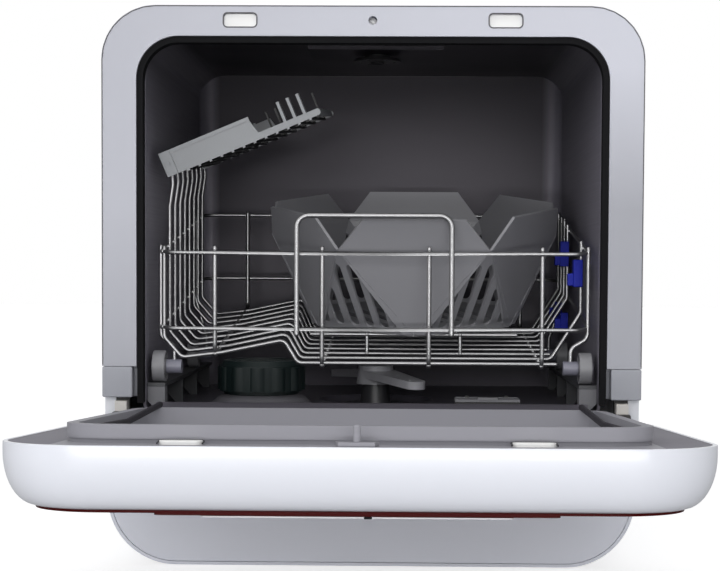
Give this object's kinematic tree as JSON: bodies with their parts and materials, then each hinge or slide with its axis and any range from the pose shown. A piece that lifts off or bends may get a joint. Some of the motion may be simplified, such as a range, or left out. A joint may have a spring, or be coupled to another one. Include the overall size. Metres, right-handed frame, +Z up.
{
  "type": "countertop dishwasher",
  "caption": "Small free-standing dishwasher with an open drop-down door, a wheeled wire rack with a tilting cup shelf and a petal insert, and turning spray arms.",
  "frame": {"origin": "on the worktop, under the middle of the cabinet's width and depth", "axes": "+X to the right seen from the front, +Y towards the back, +Z up; the open door lies towards -Y"},
  "size_m": [0.431, 0.736, 0.435],
  "materials": {
    "cabinet_white": "satin powder coat",
    "frame_silver": "satin",
    "base_silver": "satin",
    "pan_grey": "satin",
    "tub_grey": "fine grain",
    "track_grey": "fine grain",
    "block_grey": "fine grain",
    "trim_silver": "satin",
    "grille_black": "moulded",
    "seal_black": "matt",
    "foot_grey": "matt",
    "hinge_dark": "matt",
    "block_cream": "moulded",
    "catch_white": "moulded",
    "pin_steel": "turned",
    "door_white": "gloss",
    "panel_red": "high gloss",
    "liner_grey": "fine grain",
    "rack_steel": "drawn and polished",
    "hub_lilac": "moulded",
    "clip_blue": "moulded",
    "wheel_grey": "moulded",
    "tray_grey": "moulded",
    "insert_grey": "moulded",
    "arm_grey": "moulded",
    "nozzle_black": "moulded",
    "cap_green": "moulded",
    "lid_grey": "moulded",
    "box_black": "moulded",
    "pump_grey": "moulded",
    "heater_steel": "drawn",
    "tank_clear": "translucent moulding",
    "board_green": "lacquered board"
  },
  "bodies": {
    "cabinet": {"cabinet_shell": "cabinet_white", "rear_panel": "pan_grey", "base_pan": "pan_grey", "base_front": "base_silver", "feet": "foot_grey", "front_frame": "frame_silver", "frame_end_left": "frame_silver", "frame_end_right": "frame_silver", "tub": "tub_grey", "tub_gasket": "seal_black", "wheel_tracks": "track_grey", "track_blocks": "block_grey", "hinge_brackets": "hinge_dark", "hinge_blocks": "block_cream", "catch_blocks": "catch_white", "latch_switch": "catch_white", "salt_neck": "tub_grey", "spray_hub": "tub_grey", "sump": "pump_grey", "nozzle_holder": "tub_grey", "detergent_box": "box_black", "wash_pump": "pump_grey", "drain_pump": "pump_grey", "heater": "heater_steel", "water_tank": "tank_clear", "control_board": "board_green"},
    "door": {"door_shell": "door_white", "door_front_panel": "panel_red", "panel_trim": "trim_silver", "door_liner": "liner_grey", "door_seal": "seal_black", "latch_pin": "pin_steel", "strike_blocks": "catch_white", "hinge_pins": "pin_steel"},
    "rack": {"rack_rails": "rack_steel", "rack_long_wires": "rack_steel", "rack_side_wires": "rack_steel", "rack_floor_wires": "rack_steel", "rack_right_wires": "rack_steel", "shelf_rod": "rack_steel", "rack_handle": "rack_steel", "wheel_hubs": "hub_lilac", "height_clips": "clip_blue"},
    "wheel_front_left": {"wheel_front_left": "wheel_grey"},
    "wheel_front_right": {"wheel_front_right": "wheel_grey"},
    "wheel_rear_left": {"wheel_rear_left": "wheel_grey"},
    "wheel_rear_right": {"wheel_rear_right": "wheel_grey"},
    "shelf_tray": {"shelf_tray": "tray_grey", "shelf_grille": "grille_black"},
    "petal_insert": {"petal_insert": "insert_grey", "insert_grilles": "insert_grey", "insert_base": "insert_grey"},
    "lower_spray_arm": {"lower_spray_arm": "arm_grey"},
    "top_nozzle": {"top_nozzle": "nozzle_black"},
    "salt_cap": {"salt_cap": "cap_green"},
    "detergent_lid": {"detergent_lid": "lid_grey"}
  },
  "joints": [
    {"name": "door_hinge", "type": "hinge", "parent": "cabinet", "child": "door", "pos_m": [0, -0.2005, 0.1145], "axis": [1, 0, 0], "range_deg": [-87, 0]},
    {"name": "rack_slide", "type": "slide", "parent": "cabinet", "child": "rack", "axis": [0, -1, 0], "range_m": [0, 0.18]},
    {"name": "wheel_front_left_spin", "type": "hinge", "parent": "rack", "child": "wheel_front_left", "pos_m": [-0.1688, -0.17, 0.1542], "axis": [1, 0, 0], "range_deg": [0, 826]},
    {"name": "wheel_front_right_spin", "type": "hinge", "parent": "rack", "child": "wheel_front_right", "pos_m": [0.1688, -0.17, 0.1542], "axis": [1, 0, 0], "range_deg": [0, 826]},
    {"name": "wheel_rear_left_spin", "type": "hinge", "parent": "rack", "child": "wheel_rear_left", "pos_m": [-0.1688, 0.02, 0.1542], "axis": [1, 0, 0], "range_deg": [0, 826]},
    {"name": "wheel_rear_right_spin", "type": "hinge", "parent": "rack", "child": "wheel_rear_right", "pos_m": [0.1688, 0.02, 0.1542], "axis": [1, 0, 0], "range_deg": [0, 826]},
    {"name": "shelf_fold", "type": "hinge", "parent": "rack", "child": "shelf_tray", "pos_m": [-0.1636, -0.16, 0.3156], "axis": [0, -0.9954, -0.0958], "range_deg": [-18, 10]},
    {"name": "insert_lift", "type": "slide", "parent": "rack", "child": "petal_insert", "axis": [0, 0, 1], "range_m": [0, 0.03]},
    {"name": "lower_arm_spin", "type": "hinge", "parent": "cabinet", "child": "lower_spray_arm", "pos_m": [0, -0.035, 0.1396], "axis": [0, 0, 1], "continuous": true},
    {"name": "top_nozzle_spin", "type": "hinge", "parent": "cabinet", "child": "top_nozzle", "pos_m": [0, -0.035, 0.4147], "axis": [0, 0, 1], "continuous": true},
    {"name": "salt_cap_turn", "type": "hinge", "parent": "cabinet", "child": "salt_cap", "pos_m": [-0.092, -0.128, 0.1438], "axis": [0, 0, 1], "range_deg": [0, 180]},
    {"name": "detergent_lid_hinge", "type": "hinge", "parent": "cabinet", "child": "detergent_lid", "pos_m": [0.0925, -0.141, 0.1275], "axis": [-1, 0, 0], "range_deg": [0, 75]}
  ],
  "couplings": [
    {"joint": "wheel_front_left_spin", "follows": "rack_slide", "rad_per_m": 80},
    {"joint": "wheel_front_right_spin", "follows": "rack_slide", "rad_per_m": 80},
    {"joint": "wheel_rear_left_spin", "follows": "rack_slide", "rad_per_m": 80},
    {"joint": "wheel_rear_right_spin", "follows": "rack_slide", "rad_per_m": 80}
  ]
}
